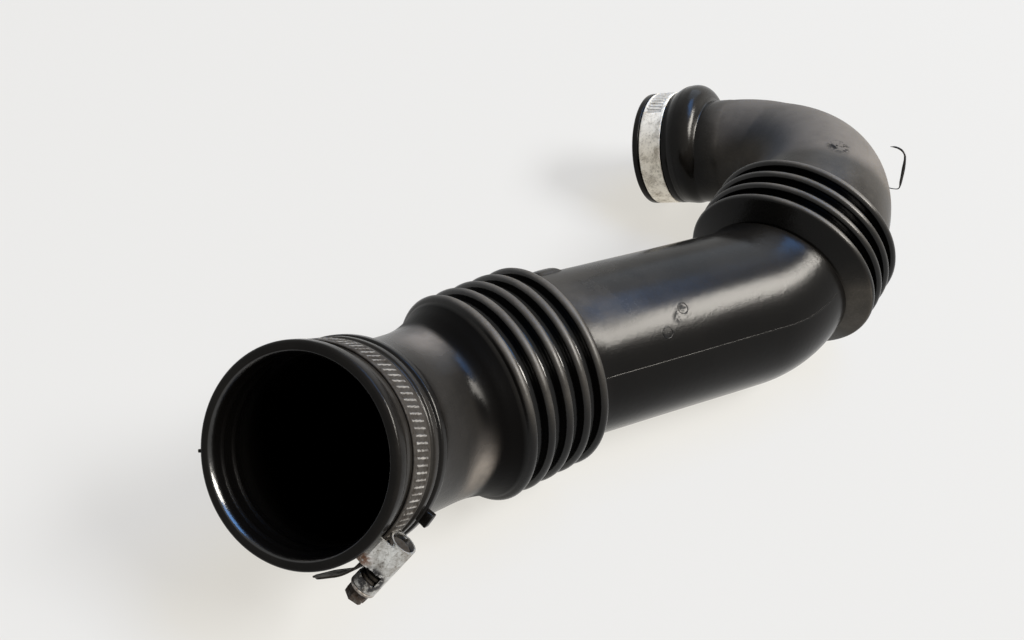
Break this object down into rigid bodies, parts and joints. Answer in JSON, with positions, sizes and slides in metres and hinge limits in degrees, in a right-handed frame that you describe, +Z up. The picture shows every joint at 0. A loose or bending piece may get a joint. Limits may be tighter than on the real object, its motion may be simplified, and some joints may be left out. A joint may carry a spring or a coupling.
{
  "type": "engine air intake duct",
  "caption": "Moulded rubber engine air intake hose with two bellows, two elbows and a cuff at each end, each cuff held by a steel worm screw clamp.",
  "frame": {"origin": "on the axis of the wide cuff's bore, in the middle of the front clamp's band", "axes": "+Z up as the duct lies at rest, +X along the main pipe from the wide cuff towards the outlet, +Y to the side on which the outlet lies"},
  "size_m": [0.4014, 0.2669, 0.1238],
  "materials": {
    "moulded_rubber": "satin black, dusty grey-brown on the upper sides",
    "dark_band_steel": "dark, dirty plated band",
    "dull_band_steel": "dull, dirty silver band",
    "zinc_steel": "worn zinc plate",
    "rusty_steel": "plated steel with rust in its thread and slot"
  },
  "bodies": {
    "duct": {"duct_hose": "moulded_rubber", "front_clamp_band": "dark_band_steel", "front_clamp_housing": "zinc_steel", "rear_clamp_band": "dull_band_steel", "rear_clamp_housing": "zinc_steel"},
    "front_screw": {"front_clamp_screw": "rusty_steel"},
    "rear_screw": {"rear_clamp_screw": "rusty_steel"}
  },
  "joints": [
    {"name": "front_screw_turn", "type": "hinge", "parent": "duct", "child": "front_screw", "pos_m": [0.00707, -0.04005, -0.02409], "axis": [-0.6178, 0.0746, -0.7828], "continuous": true},
    {"name": "rear_screw_turn", "type": "hinge", "parent": "duct", "child": "rear_screw", "pos_m": [0.33123, 0.21232, -0.04953], "axis": [0.343, -0.2025, -0.9172], "continuous": true}
  ]
}
